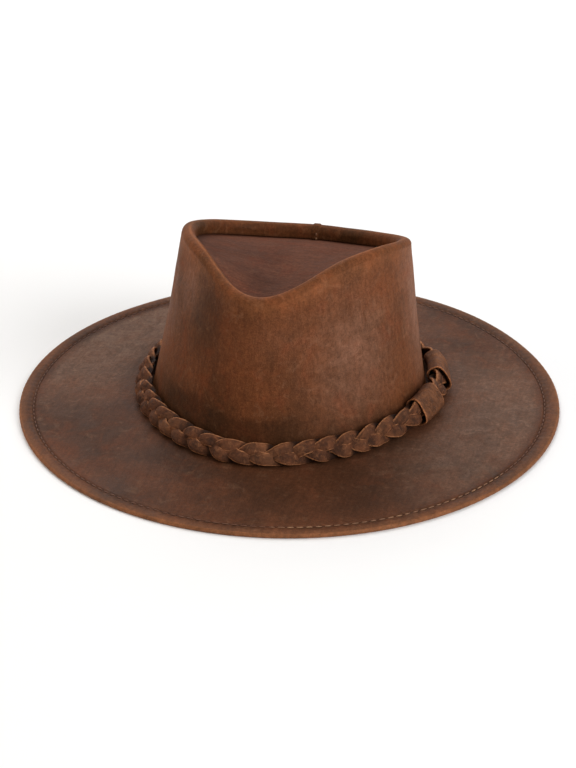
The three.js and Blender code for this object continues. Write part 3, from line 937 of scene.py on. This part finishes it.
def place_camera():
    data = bpy.data.cameras.new("photo_camera")
    camera = bpy.data.objects.new("photo_camera", data)
    bpy.context.collection.objects.link(camera)
    sin_a, cos_a = math.sin(CAMERA_AZIMUTH), math.cos(CAMERA_AZIMUTH)
    sin_e, cos_e = math.sin(CAMERA_ELEVATION), math.cos(CAMERA_ELEVATION)
    back = Vector((sin_a * cos_e, -cos_a * cos_e, sin_e))
    right = Vector((cos_a, sin_a, 0))
    up = Vector((-sin_a * sin_e, cos_a * sin_e, cos_e))
    per_pixel = CAMERA_DISTANCE / FOCAL_PIXELS
    aim = right * (PHOTO_SIZE[0] / 2 - ORIGIN_PIXEL[0]) * per_pixel
    aim += up * (ORIGIN_PIXEL[1] - PHOTO_SIZE[1] / 2) * per_pixel
    camera.location = back * CAMERA_DISTANCE
    camera.rotation_euler = (aim - camera.location).to_track_quat("-Z", "Y").to_euler()
    data.lens = FOCAL_PIXELS * SENSOR_MM / PHOTO_SIZE[1]
    data.sensor_width = SENSOR_MM
    bpy.context.scene.camera = camera


def area_light(name, location, size, power, tint):
    data = bpy.data.lights.new(name, "AREA")
    data.shape = "RECTANGLE"
    data.size, data.size_y = size
    data.energy = power
    data.color = tint
    light = bpy.data.objects.new(name, data)
    bpy.context.collection.objects.link(light)
    light.location = location
    light.rotation_euler = (Vector((0, 0, 0.05)) - light.location).to_track_quat("-Z", "Y").to_euler()


def make_studio():
    world = bpy.data.worlds.new("studio")
    bpy.context.scene.world = world
    world.use_nodes = True
    background = world.node_tree.nodes["Background"]
    background.inputs["Color"].default_value = (1, 1, 1, 1)
    background.inputs["Strength"].default_value = 0.28
    for light in LIGHTS:
        area_light(*light)
    corners = [(x * FLOOR_HALF, y * FLOOR_HALF, 0) for x, y in ((-1, -1), (1, -1), (1, 1), (-1, 1))]
    floor = bpy.data.meshes.new("floor")
    floor.from_pydata(corners, [], [(0, 1, 2, 3)])
    piece = bpy.data.objects.new("floor", floor)
    bpy.context.collection.objects.link(piece)
    material, _, shader = new_material("pale_floor")
    shader.inputs["Base Color"].default_value = (0.93, 0.93, 0.93, 1)
    shader.inputs["Roughness"].default_value = 0.9
    floor.materials.append(material)
    scene = bpy.context.scene
    scene.view_settings.view_transform = "Standard"
    scene.view_settings.look = "None"


def finish_piece(piece, material, slot, *nodes):
    if material:
        piece.data.materials.clear()
        piece.data.materials.append(material)
    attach(piece, "root")
    if nodes:
        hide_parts(*nodes)


place_camera()
make_studio()

crown_leather = leather("crown_leather", CROWN_COLOURS, 0.62, 0.07, 0.16, (1.0, 1.0, 0.12), 0.4)
brim_leather = leather("brim_leather", BRIM_COLOURS, 0.55, 0.1, 0.04, (1.0, 0.15, 1.0), 1.7)
top_leather = leather("top_leather", TOP_COLOURS, 0.66, 0.05, 0.0, (0.1, 1.0, 1.0), 3.1)
braid_leather = strip_leather("braid_leather", BRAID_COLOURS, 0.3)
keeper_leather = strip_leather("keeper_leather", KEEPER_COLOURS, 5.3)
thread = thread_material()

finish_piece(make_brim(), brim_leather, "brim_leather", "brim")
finish_piece(make_crown_wall(), crown_leather, "crown_leather", "crown_wall")
finish_piece(make_crown_top(), top_leather, "top_leather", "crown_top")
for strand in range(3):
    finish_piece(make_strip(strand), braid_leather, "braid_leather", f"braid_strand_{strand + 1}")
for end, middle_turn, flare in (("front", KEEPER_TURNS[0], 0.35), ("rear", KEEPER_TURNS[1], 0.9)):
    keeper = make_keeper(f"keeper_{end}_leather", middle_turn, flare)
    finish_piece(keeper, keeper_leather, "keeper_leather", f"keeper_{end}")

tree, sockets = stitch_tree()
hem_turn = even_turns(HEM_STEPS)
hem_path = brim_point(hem_turn, edge_radius(hem_turn) - HEM_WIDTH, BRIM_THICKNESS - THREAD_SINK)
hem_length = float(np.linalg.norm(np.roll(hem_path, -1, 0) - hem_path, axis=1).sum())
hem_values = {
    "Pitch": hem_length / HEM_STITCHES * MM,
    "Stitch Length": 4.0 * MM,
    "Thread Width": THREAD_WIDTH * MM,
    "Thread Height": THREAD_HEIGHT * MM,
    "Seed": 3,
    "Thread": thread,
}
upward = np.array([0.0, 0.0, 1.0])
hem_stitches = stitches("hem_stitches", hem_path, upward, True, hem_values, tree, sockets)
finish_piece(hem_stitches, None, "brim_leather")

# The back seam's stitches: first those that cross the lip, then those down the wall
seam_turn = math.pi - SEAM_STITCH_ASIDE / float(rim_radius(math.pi))
seam_crest = float(rim_height(seam_turn))
roll_centre = seam_crest - ROLL_RADIUS
toward_middle = np.array([-math.sin(seam_turn), math.cos(seam_turn), 0.0])

lip_values = dict(hem_values)
lip_values.update(
    {"Pitch": 2.7 * MM, "Stitch Length": 2.2 * MM, "Thread Width": LIP_THREAD_WIDTH * MM, "Seed": 8}
)
lip_heights = np.linspace(seam_crest - LIP_DEPTH + 0.8, roll_centre, 12)
lip_radius = float(wall_radius(seam_turn, roll_centre)) - 2 * ROLL_RADIUS - SEAM_HEIGHT - 0.1
lip_path = polar(lip_radius, seam_turn, lip_heights)
lip_stitches = stitches("lip_seam_stitches", lip_path, toward_middle, False, lip_values, tree, sockets)
finish_piece(lip_stitches, None, "crown_leather")

wall_values = dict(hem_values)
wall_values.update({"Pitch": 4.5 * MM, "Stitch Length": 3.2 * MM, "Seed": 5})
wall_heights = np.linspace(FOOT_HEIGHT + 2, roll_centre - 2, 40)
wall_path = polar(wall_radius(seam_turn, wall_heights) + SEAM_HEIGHT, seam_turn, wall_heights)
wall_stitches = stitches("wall_seam_stitches", wall_path, -toward_middle, False, wall_values, tree, sockets)
finish_piece(wall_stitches, None, "crown_leather")
